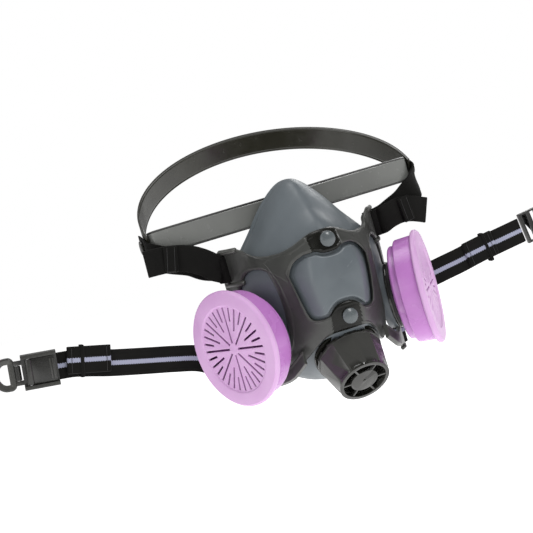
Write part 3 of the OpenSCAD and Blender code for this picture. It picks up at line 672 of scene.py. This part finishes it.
# A whole outline from the parts of its right half: each part gives per points, and the left half mirrors them
def wholeLoop(parts, per):
    half = [evenly(curveThrough(part, 8), per)[:-1] for part in parts]
    half = np.concatenate(half + [np.array([parts[-1][-1]], float)])
    return np.concatenate([half, half[1:-1][::-1] * [-1, 1]])


panelShape = {
    "inset": 1.9, "lift": 3.1, "slope": 0.2,
    "crease": [(-24, 14), (-4, 17.2), (4, 17.8), (22, 14.8)],        # height, and how far out the fold runs there
    "edge": [(0, -0.5), (0, 1.4), (0.12, 2.2), (0.45, 2.75), (0.95, 3.0), (1.7, 3.1)],    # inset and height
}


# The panel: rings shrink from the window's outline to the middle; the outer rings drop to the rubber as a round edge
def makePanel():
    loop = wholeLoop(yokeShape["window"], 34)
    heading = unitRows(np.roll(loop, -1, 0) - np.roll(loop, 1, 0))
    inward = np.stack([-heading[:, 1], heading[:, 0]], 1)
    centre = np.array([0, 1.0])
    inward *= np.sign(np.sum(inward * (centre - loop), 1))[:, None]
    edge = loop + inward * panelShape["inset"]
    rings = [(edge + inward * e, np.full(len(edge), h)) for e, h in panelShape["edge"]]
    last = rings[-1][0]
    for share in np.linspace(0.94, 0.04, 26):
        rings.append((centre + (last - centre) * share, np.full(len(edge), panelShape["lift"])))
    flat = np.array([r[0] for r in rings])
    lift = np.array([r[1] for r in rings])
    crease = np.array(panelShape["crease"])
    reach = np.interp(flat[..., 1], crease[:, 0], crease[:, 1])
    beyond = np.abs(flat[..., 0]) - reach
    fold = np.sqrt(beyond ** 2 + 0.3) + beyond    # stays level inside the crease lines, then slopes away
    lift = lift + 0.5 * (lift > 2.9) - panelShape["slope"] * fold * (lift > 0)
    grid = overRubber(flat[..., 0], flat[..., 1], lift)
    piece = gridPiece("front_panel", grid, "maskRubber", closeV=True, caps=(False, True), sharp=60)
    return settle(piece, "mask", "mask_rubber")


# Lines of a plate between two outlines: a quarter circle up from the foot, a small raised rim, the flat, and the
# same down again at the outer edge. It gives the flat points, their height over the rubber, and the flat's height
def plateLines(inner, outer, foot, count):
    top, curve = yokeShape["gap"] + yokeShape["thick"], yokeShape["edgeRound"]
    angle = np.linspace(0, math.pi / 2, 6)
    down = [(curve * (1 - math.sin(t)), top - curve * (1 - math.cos(t))) for t in angle[::-1]]
    rim = [(curve + 0.7, top + yokeShape["rimLift"]), (curve + 1.5, top)]
    stations = [(foot, yokeShape["gap"])] + down + rim
    across = np.linalg.norm(outer - inner, axis=1)
    direction = unitRows(outer - inner)
    start, stop = stations[-1][0], across - stations[-1][0]
    rows = [(inner + direction * i, h) for i, h in stations]
    rows += [(inner + direction * (start + (stop - start) * k)[:, None], top) for k in np.linspace(0, 1, count)[1:-1]]
    rows += [(outer - direction * i, h) for i, h in stations[::-1]]
    return np.array([r[0] for r in rows]), np.array([np.full(len(inner), r[1]) for r in rows]), top


# The yoke: each line of the grid runs from the window's edge to the outer edge, over the rubber
def makeYoke():
    inner, outer = wholeLoop(yokeShape["window"], 34), wholeLoop(yokeShape["edge"], 34)
    flat, lift, top = plateLines(inner, outer, 0, 16)
    x, z = flat[..., 0], flat[..., 1]
    # dark stepped recess round each stud
    boss = 1 / (1 + np.exp((np.abs(x - yokeShape["bossShift"]) - yokeShape["bossHalf"]) / 0.3))
    boss = boss * ((z > 15) | (z < -12))
    lift = lift - yokeShape["recess"] * boss * (lift > top - 1.4)
    grid = overRubber(x, z, lift)
    piece = gridPiece("yoke_plate", grid.transpose(1, 0, 2), "yokePlastic", closeU=True, closeV=True, sharp=50)
    darkShare = (boss * (lift > top - 1.6)).T.ravel()
    piece.data.materials.append(paint["recessPlastic"])
    starts = np.zeros(len(piece.data.polygons), np.int32)
    corners = np.zeros(len(piece.data.loops), np.int32)
    piece.data.polygons.foreach_get("loop_start", starts)
    piece.data.loops.foreach_get("vertex_index", corners)
    level = np.mean([darkShare[corners[starts + k]] for k in range(4)], 0)
    piece.data.polygons.foreach_set("material_index", (level > 0.5).astype(np.int32))
    return settle(piece, "mask", "yoke_plastic", "yoke")


makePanel()
makeYoke()
print("panel and yoke made")

armShape = {
    # sideways place and depth of the plate once it leaves the rubber
    "leave": [(46, -18.4), (51.8, -10.8), (55, -4.8), (58, 4), (60.5, 8)],
    "inner": [(31, 4), (35.2, 10), (38.6, 15.6), (43, 18.4), (47.6, 17.6), (51.2, 13.6),
              (53.6, 8), (55.2, 0), (56, -8)],
    "outer": [(22, 26), (29, 26), (35, 26), (41.5, 28), (48, 33.5), (56.2, 36), (60.2, 20), (60.6, 4), (59.8, -8)],
}


# Point of the arm over x and z: on the rubber to about x = 42, then eased over 7 mm onto the free line of the plate
def onArm(x, z, lift):
    leave = np.array(armShape["leave"])
    near = overRubber(np.minimum(x, 50), z, lift)
    share = ease((x - 42) / 7)
    slope = np.gradient(leave[:, 1], leave[:, 0])
    tilt = np.interp(x, leave[:, 0], slope)
    size = np.hypot(tilt, 1)
    over = lift - yokeShape["gap"] - yokeShape["thick"]
    depth = np.interp(x, leave[:, 0], leave[:, 1]) - over / size
    free = np.stack([x + over * tilt / size * 0.8, depth, z], -1)
    blended = near * (1 - share[..., None]) + free * share[..., None]
    blended[..., 2] = z
    return blended


# The upper arm: the same plate lines, from under the yoke out to the strap's bar
def makeArm(side, name, stoodFor):
    inner, outer = (evenly(curveThrough(armShape[k], 10), 90) for k in ("inner", "outer"))
    flat, lift, _ = plateLines(inner, outer, 0.4, 14)
    flat, lift = flat.transpose(1, 0, 2), lift.T
    grid = onArm(flat[..., 0], flat[..., 1], lift) * [side, 1, 1]
    piece = gridPiece(name, grid, "yokePlastic", closeV=True, caps=(True, True), sharp=50)
    return settle(piece, "mask", "yoke_plastic", stoodFor)


makeArm(-1, "left_shoulder", "left_upper_arm")
makeArm(1, "right_shoulder", "right_upper_arm")

lowArmShape = {
    "path": [(31, -39, -48), (36.2, -34, -53.4), (40, -29.5, -57), (44.5, -22.5, -59), (50, -10.5, -59.6),
             (53.4, -1.4, -58.6), (54.2, 1, -58.2)],
    "half": [5, 5.2, 5.2, 5.6, 7.2, 11, 12.2],
    "thick": 1.7,
}


# The lower arm: a strip outline carried along a path, point = path + up * width * half + flat direction * thickness
def makeLowArm(side, name, stoodFor):
    look = lowArmShape
    joined = curveThrough(np.column_stack([look["path"], look["half"]]), 8)
    path, half = joined[:, :3], joined[:, 3]
    heading = unitRows(np.gradient(path, axis=0))
    up = np.array([0, 0, 1.0])
    flat = unitRows(np.cross(heading, up))
    outline = stripOutline(1, 1, 0.28)[None]
    wide = outline[..., :1] * half[:, None, None]
    grid = path[:, None] + up * wide + flat[:, None] * outline[..., 1:] * look["thick"]
    piece = gridPiece(name, grid * [side, 1, 1], "yokePlastic", closeV=True, caps=(True, True), sharp=50)
    return settle(piece, "mask", "yoke_plastic", stoodFor)


makeLowArm(-1, "left_lower_tab", "left_lower_arm")
makeLowArm(1, "right_lower_tab", "right_lower_arm")


lugShape = {
    "halfTall": 1.9, "halfThick": 2.2, "bend": 1.9 * 0.85, "ends": 1.2,
    "upper": [(50.5, -12.4), (54.2, -6), (58, 4), (59.2, 6.4)], "upperAt": (34.8, 11.2),
    "lower": [(52, -4.6), (54, 0), (56, 6), (56.9, 8.6)], "lowerAt": (-46.6, -69.6),
}


# Straight up at each point of a path, the way that a strap's width runs
def sideways(path):
    return np.tile([0, 0, 1.0], (len(path), 1))


# Short rounded lugs at both ends of each bar, running from the plate to just past the bar
def makeLug(name, path):
    path = evenly(curveThrough(path, 6), 16)
    outline = stripOutline(lugShape["halfTall"], lugShape["halfThick"], lugShape["bend"])
    lug = carried(name, path, sideways(path), outline, "yokePlastic", roundEnds=lugShape["ends"])
    return settle(lug, "mask", "yoke_plastic")


for side, word in ((-1, "left"), (1, "right")):
    for bar in ("upper", "lower"):
        for level, height in zip(("top", "bottom"), lugShape[bar + "At"]):
            makeLug(f"{word}_{bar}_lug_{level}", [(x * side, y, height) for x, y in lugShape[bar]])
print("arms made")

strapShape = {"wide": 19.0, "thick": 1.4, "barAt": (58, 4, 23), "barTurn": 56.6, "barLoop": 4.1,
              "lowBarAt": (56, 6, -58), "lowTurn": 71, "lowLoop": 3.5, "webEnd": 105.05}
upperRuns = {
    "left": dict(web=[(-104.6, 19, 47.5), (-100, 13.8, 43.5), (-91, 12.6, 39), (-79, 11.4, 34), (-69, 10.4, 27.5)],
                 tail=[(-64.6, -0.6, 25.6), (-73, 0.8, 33), (-83, 3.6, 38.5), (-96, 5.4, 41.3), (-110.9, 6.8, 42)],
                 fold=(-93, 3.9, 40.7), foldTurn=-8, foldTip=-14),
    "right": dict(web=[(104.6, 19, 46), (100, 13.8, 40), (91, 13, 33), (79, 11.6, 28), (69, 10.4, 24.6)],
                  tail=[(64.6, -0.6, 23.6), (71, 0.6, 25.4), (80, 3.2, 26.4), (90, 5.2, 25), (102, 7, 20.4)],
                  fold=(85, 3.0, 26), foldTurn=12, foldTip=6),
}
neckRuns = {
    "left": [(61, 16.5, -56.5), (68, 24, -50), (77, 27.6, -43), (90, 27, -35), (108, 25, -29.5), (125, 23, -25),
             (151, 20.5, -18), (166, 19.2, -13.2), (177, 18.5, -10), (186, 18.8, -8.6), (196, 18.7, -7.2)],
    "right": [(61, 16.5, -56), (68, 24, -48), (77, 27.4, -39), (90, 27, -31), (106, 24, -27.7), (124, 22.5, -25),
              (141, 22, -22), (160, 21, -19.4), (178, 20, -17)],
}
webbingOutline = stripOutline(strapShape["wide"] / 2, strapShape["thick"] / 2, 0.55, across=25)


# Points x, y turned by degrees about the origin
def swung(x, y, degrees):
    t = math.radians(degrees)
    return np.stack([x * math.cos(t) - y * math.sin(t), x * math.sin(t) + y * math.cos(t)], -1)


# The upper strap: from the cradle's rivet down to the bar, half round it and back to the free end
def makeUpperStrap(side, word):
    look, bar = upperRuns[word], strapShape["barAt"]
    t = np.radians(np.linspace(95, 265, 15))
    loop = swung(strapShape["barLoop"] * np.cos(t), strapShape["barLoop"] * np.sin(t), strapShape["barTurn"]) + bar[:2]
    loop = np.column_stack([loop[:, 0] * side, loop[:, 1], np.full(len(loop), bar[2])])
    end = strapShape["webEnd"] * side
    path = np.concatenate([[(end, 36, 52.5), (end, 31, 51.8), (end, 25, 50.4)], look["web"], loop, look["tail"]])
    path = evenly(curveThrough(path, 6), 220)
    # the cloth keeps a slight ripple
    away = np.clip((np.abs(path[:, 0]) - 70) / 12, 0, 1)
    path[:, 1] += 0.25 * away * np.sin(np.arange(len(path)) * 0.21)
    strap = carried(f"{word}_upper_strap", path, sideways(path), webbingOutline, "webbing", roundEnds=0.5)
    settle(strap, "mask", "webbing", f"{word}_upper_webbing")
    # the end is turned over twice: a short flat roll with rounded ends
    turn, tip = math.radians(look["foldTurn"]), math.radians(look["foldTip"])
    along = np.array([math.cos(turn) * math.cos(tip), math.sin(turn) * math.cos(tip), math.sin(tip)])
    fold = np.array(look["fold"]) + along * np.linspace(-4.6, 4.6, 24)[:, None]
    hump = np.cos(np.linspace(-1, 1, 24) * math.pi / 2) ** 0.5
    fold[:, 1] -= 0.5 * hump
    outline = stripOutline(9.3, 1.5, 0.9, across=21)
    settle(carried(f"{word}_strap_fold", fold, sideways(fold), outline, "webbing", roundEnds=1.2),
           "mask", "webbing", f"{word}_webbing_end_fold")


# The neck strap: over the lower bar, along its run to the buckle or the hook
def makeNeckStrap(side, word):
    bar = strapShape["lowBarAt"]
    t = np.radians(np.linspace(-100, 100, 13))
    loop = swung(-strapShape["lowLoop"] * np.cos(t), strapShape["lowLoop"] * np.sin(t), strapShape["lowTurn"]) + bar[:2]
    loop = np.column_stack([loop, np.full(len(loop), bar[2])])
    path = evenly(curveThrough(np.concatenate([loop, neckRuns[word]]), 6), 260) * [side, 1, 1]
    strap = carried(f"{word}_neck_webbing", path, sideways(path), webbingOutline, "stripedWebbing", roundEnds=0.5)
    return settle(strap, f"{word}_neck", "neck_webbing", f"{word}_neck_strap")


for side, word in ((-1, "left"), (1, "right")):
    makeUpperStrap(side, word)
    makeNeckStrap(side, word)

tailShape = {
    # the free end folded back on the strap: place, turn and tip in degrees, length, and how far along it the band sits
    "left": dict(at=(-166.2, 16.9, -10.2), turn=4.5, tip=14.5, long=30, bandAt=-5),
    "right": dict(at=(141, 19.9, -21.2), turn=-3, tip=-9, long=24, bandAt=5),
}


# Points tipped about Y and then turned about Z, by the degrees in look
def tilted(points, look):
    turn, tip = math.radians(look["turn"]), math.radians(look["tip"])
    tipped = np.array([[math.cos(tip), 0, math.sin(tip)], [0, 1, 0], [-math.sin(tip), 0, math.cos(tip)]])
    turned = np.array([[math.cos(turn), -math.sin(turn), 0], [math.sin(turn), math.cos(turn), 0], [0, 0, 1]])
    return np.asarray(points, float) @ (turned @ tipped).T


# The free end: webbing folded flat on itself, an oblong path seen from above, with round turns at both ends
def makeTail(word):
    look = tailShape[word]
    t = np.radians(np.linspace(-90, 90, 9))
    reach, turn = look["long"] / 2 - 1, 0.95
    right = np.column_stack([reach + turn * np.cos(t), turn * np.sin(t)])
    oblong = evenly(np.concatenate([right, -right, right[:1]]), 121)[:-1]
    puff = 0.45 * np.cos(np.clip(oblong[:, 0] / reach, -1, 1) * math.pi / 2)
    oblong[:, 1] += np.where(oblong[:, 1] < 0, -puff, 0)
    path = tilted(np.column_stack([oblong, np.zeros(len(oblong))]), look) + look["at"]
    across = np.tile(tilted([(0, 0, 1.0)], look)[0], (len(path), 1))
    settle(carried(f"{word}_strap_tail", path, across, webbingOutline, "stripedWebbing", closed=True),
           f"{word}_neck", "neck_webbing", f"{word}_neck_keeper")
    # a narrow band of webbing holds the tail on the strap
    t = np.linspace(0, 2 * math.pi, 97)[:-1]
    deep, tall = np.clip(np.sin(t) * 5, -1, 1) * 3.1 + 0.9, np.clip(np.cos(t) * 1.2, -1, 1) * 10.9 - 0.8
    loop = np.column_stack([np.full(len(t), look["bandAt"]), deep, tall])
    loop = evenly(np.concatenate([loop, loop[:1]]), 121)[:-1]
    path = tilted(loop, look) + look["at"]
    across = np.tile(tilted([(1.0, 0, 0)], look)[0], (len(path), 1))
    settle(carried(f"{word}_tail_band", path, across, stripOutline(1.3, 0.45, 0.35, across=7), "webbing", closed=True),
           f"{word}_neck", "neck_webbing")


makeTail("left")
makeTail("right")
print("straps made")

cradleShape = {"bandHalf": 99, "wide": 18.4, "thick": 1.6, "rise": 106, "tilt": 28, "border": 1.5}


# The two thin borders of a band take the darker finish: faces whose place across it is past border
def bandFinish(piece, border):
    piece.data.materials.append(paint["bandBorder"])
    mesh = piece.data
    uv = np.zeros(len(mesh.loops) * 2)
    mesh.uv_layers["weave"].data.foreach_get("uv", uv)
    across = np.abs(uv[1::2])
    starts = np.zeros(len(mesh.polygons), np.int32)
    mesh.polygons.foreach_get("loop_start", starts)
    low = np.minimum(across[starts], across[starts + 2]) / mm
    mesh.polygons.foreach_set("material_index", (low > border).astype(np.int32))


# The cradle: a front band along a nearly straight path, and a rear band along a half circle that leans back, both
# with the same outline carried along them
def makeCradle():
    tab = cradleShape["bandHalf"] + 0.7
    half = [(tab + 0.8, 32, 52.4), (tab + 0.8, 28, 52.7), (tab + 0.8, 24, 53), (tab + 0.2, 19, 53.4),
            (tab - 4.5, 15.5, 53.8), (80, 13.8, 53.9), (52, 12.4, 54), (25, 11.8, 54), (0, 11.6, 54)]
    path = np.array(half + [(-x, y, z) for x, y, z in half[-2::-1]])
    path = evenly(curveThrough(path, 8), 260)
    halfWide, halfThick = cradleShape["wide"] / 2, cradleShape["thick"] / 2
    outline = stripOutline(halfWide, halfThick, 0.6, across=41, groove=(1.35, 0.3, 0.35))
    # the front band's light finish is a painted reflection; the band itself is dark
    front = carried("front_band", path, sideways(path), outline, "bandPaintedReflection", roundEnds=0.8)
    bandFinish(front, cradleShape["wide"] / 2 - cradleShape["border"])
    settle(front, "head_cradle", "band_plastic", "cradle_front_band")
    t = np.linspace(0, math.pi, 220)
    q, tilt = np.sin(t), math.radians(cradleShape["tilt"])
    arc = np.column_stack([(tab + 3.2) * np.cos(t), 24 + (cradleShape["rise"] - 10) * q * math.cos(tilt),
                           54 + cradleShape["rise"] * q * math.sin(tilt)])
    path = np.concatenate([[(tab + 3.2, 20.6, 52)], arc, [(-tab - 3.2, 20.6, 52)]])
    q = np.concatenate([[0], q, [0]])
    lean = np.column_stack([np.zeros(len(q)), -q * math.sin(tilt) * 0.9, 1 - q * 0.1])
    rear = carried("rear_band", path, lean, outline, "rearPlastic", roundEnds=0.8)
    settle(rear, "head_cradle", "band_plastic", "cradle_rear_band")


makeCradle()
print("head cradle made")

# hard parts that keep their CAD shape: width of the soft edge, finish, slot, and the nodes that share them
hardParts = [
    (0.5, "maskRubber", "mask_rubber", "left_inlet_collar right_inlet_collar exhale_collar"),
    (0.25, "studPlastic", "stud_plastic", "upper_stud lower_stud"),
    (0.3, "yokePlastic", "yoke_plastic", "left_upper_bar right_upper_bar left_lower_bar right_lower_bar"),
    (0.3, "blackPlastic", "port_plastic", "left_inlet_connector right_inlet_connector"),
    (0.3, "blackPlastic", "valve_plastic", "exhale_valve_seat"),
    (0.5, "blackPlastic", "valve_plastic", "exhale_cover"),
    (0.5, "filterSide", "filter_side", "left_filter_body right_filter_body"),
    (0.35, "filterFace", "filter_face", "left_filter_lid right_filter_lid"),
    (0.4, "blackPlastic", "rivet_plastic", "left_cradle_rivet right_cradle_rivet"),
    (0.45, "bucklePlastic", "buckle_plastic", "neck_buckle_body"),
    (0.4, "bucklePlastic", "buckle_plastic", "buckle_lever"),
    (0.6, "bucklePlastic", "buckle_plastic", "neck_hook"),
]
bodyOf = {n: b for b, members in frame["record"]["behaviour"]["bodies"].items() for n in members}
for width, finish, materialSlot, members in hardParts:
    for nodeName in members.split():
        settle(softened(nodeName, nodeName + "_shape", width, finish), bodyOf[nodeName], materialSlot, nodeName)
print("hard parts softened")

buckleShape = {
    "at": (-200.4, 15.7, -6.4), "turn": -4, "tip": 7,     # place, and degrees
    "ringAt": 15.4,                                       # from the buckle's middle to the ring's pin
    "bow": (3.9, 15.4, 9.4),                              # the ring's near side, far side and half height
    "thick": 2.3, "deep": 2.0, "sleeve": 2.4,
}


# Points in the buckle's own lie, outward along x, put in their place
def onBuckle(points):
    return tilted(np.asarray(points, float) * [-1, 1, 1], buckleShape) + buckleShape["at"]


# The ring follows a D: a straight side and a half oval, with a round-edged outline carried along it; a sleeve goes
# round its pin, and a short web joins the two
def makeRing():
    near, far, half = buckleShape["bow"]
    t = np.radians(np.linspace(-90, 90, 33))
    bowed = near + (far - near) * (0.35 + 0.65 * np.cos(t))
    straight = [(near + 1.6, -half), (near + 0.5, -half + 0.5), (near, -half + 1.6)]
    straight += [(x, -z) for x, z in straight[::-1]]
    shape = np.concatenate([straight, np.column_stack([bowed, half * np.sin(t)])[::-1]])
    shape = evenly(np.concatenate([shape, shape[:1]]), 161)[:-1]
    path = onBuckle(np.column_stack([shape[:, 0] + buckleShape["ringAt"], np.zeros(len(shape)), shape[:, 1]]))
    middle, back, up = onBuckle([(0, 0, 0), (0, 1, 0), (0, 0, 1)])
    back, up = back - middle, up - middle
    outline = stripOutline(buckleShape["deep"], buckleShape["thick"], 1.4, across=5)
    bow = carried("d_ring_bow", path, np.tile(back, (len(path), 1)), outline, "bucklePlastic", closed=True)
    settle(bow, "ring", "buckle_plastic", "d_ring")
    path = onBuckle([(buckleShape["ringAt"], 0, z) for z in np.linspace(-5.1, 5.1, 12)])
    t = np.linspace(0, 2 * math.pi, 33)[:-1]
    tube = np.column_stack([np.cos(t), np.sin(t)]) * buckleShape["sleeve"]
    sleeve = carried("d_ring_sleeve", path, np.tile(back, (len(path), 1)), tube, "bucklePlastic", roundEnds=0.5)
    settle(sleeve, "ring", "buckle_plastic")
    path = onBuckle([(buckleShape["ringAt"] + x, 0, 0) for x in np.linspace(0.5, 4.4, 6)])
    outline = stripOutline(5, 1.5, 0.5, across=9)
    web = carried("d_ring_web", path, np.tile(up, (len(path), 1)), outline, "bucklePlastic", roundEnds=0.2)
    settle(web, "ring", "buckle_plastic")


makeRing()

stitchShape = {"thread": 0.2, "pitch": 1.9, "lift": 0.16, "height": -1.95, "half": 8.4, "fromEnd": 2.6}


# A row of stitches: a thin round thread that dips into the cloth once each pitch, by the root of a sine
def stitchRow(name, start, end, outward, body, materialSlot):
    start, end, outward = (np.asarray(v, float) for v in (start, end, outward))
    length = np.linalg.norm(end - start)
    steps = max(24, int(length / stitchShape["pitch"]) * 10)
    share = np.linspace(0, 1, steps)
    wave = stitchShape["lift"] * (np.abs(np.sin(share * length / stitchShape["pitch"] * math.pi)) ** 0.5 - 0.45)
    path = start + (end - start) * share[:, None] + unitRows(outward) * wave[:, None]
    t = np.linspace(0, 2 * math.pi, 9)[:-1]
    tube = np.column_stack([np.cos(t), np.sin(t)]) * stitchShape["thread"]
    row = carried(name, path, np.tile(outward, (steps, 1)), tube, "gasketRubber", roundEnds=0, sharp=180)
    settle(row, body, materialSlot)


# Two rows across a flat end: the first at minus along, the second at along
def stitchRows(name, along, lie, at, body, materialSlot):
    height, half = stitchShape["height"], stitchShape["half"]
    for number, x in enumerate((-along, along)):
        start, end = tilted([(x, height, -half), (x, height, half)], lie) + at
        stitchRow(f"{name}_{number}", start, end, (0, -1, 0), body, materialSlot)


for word, look in tailShape.items():
    along = look["long"] / 2 - stitchShape["fromEnd"]
    stitchRows(f"{word}_tail_stitch", along, look, look["at"], f"{word}_neck", "neck_webbing")
for word, look in upperRuns.items():
    lie = dict(turn=look["foldTurn"], tip=-look["foldTip"])
    stitchRows(f"{word}_fold_stitch", stitchShape["fromEnd"], lie, look["fold"], "mask", "webbing")
print("ring and stitches made")

# small inner parts keep their nodes and take a better finish
plainParts = {
    "left_inlet_gasket": "gasketRubber", "right_inlet_gasket": "gasketRubber",
    "left_inhale_flap": "flapRubber", "right_inhale_flap": "flapRubber", "exhale_flap": "flapRubber",
    "left_filter_media": "filterPaperPaintedShade", "right_filter_media": "filterPaperPaintedShade",
    "lever_pin": "pinSteel", "ring_pin": "pinSteel",
}
for nodeName, finish in plainParts.items():
    part = frame["nodes"][nodeName]
    part.data.materials.clear()
    part.data.materials.append(paint[finish])
print("inner parts finished")
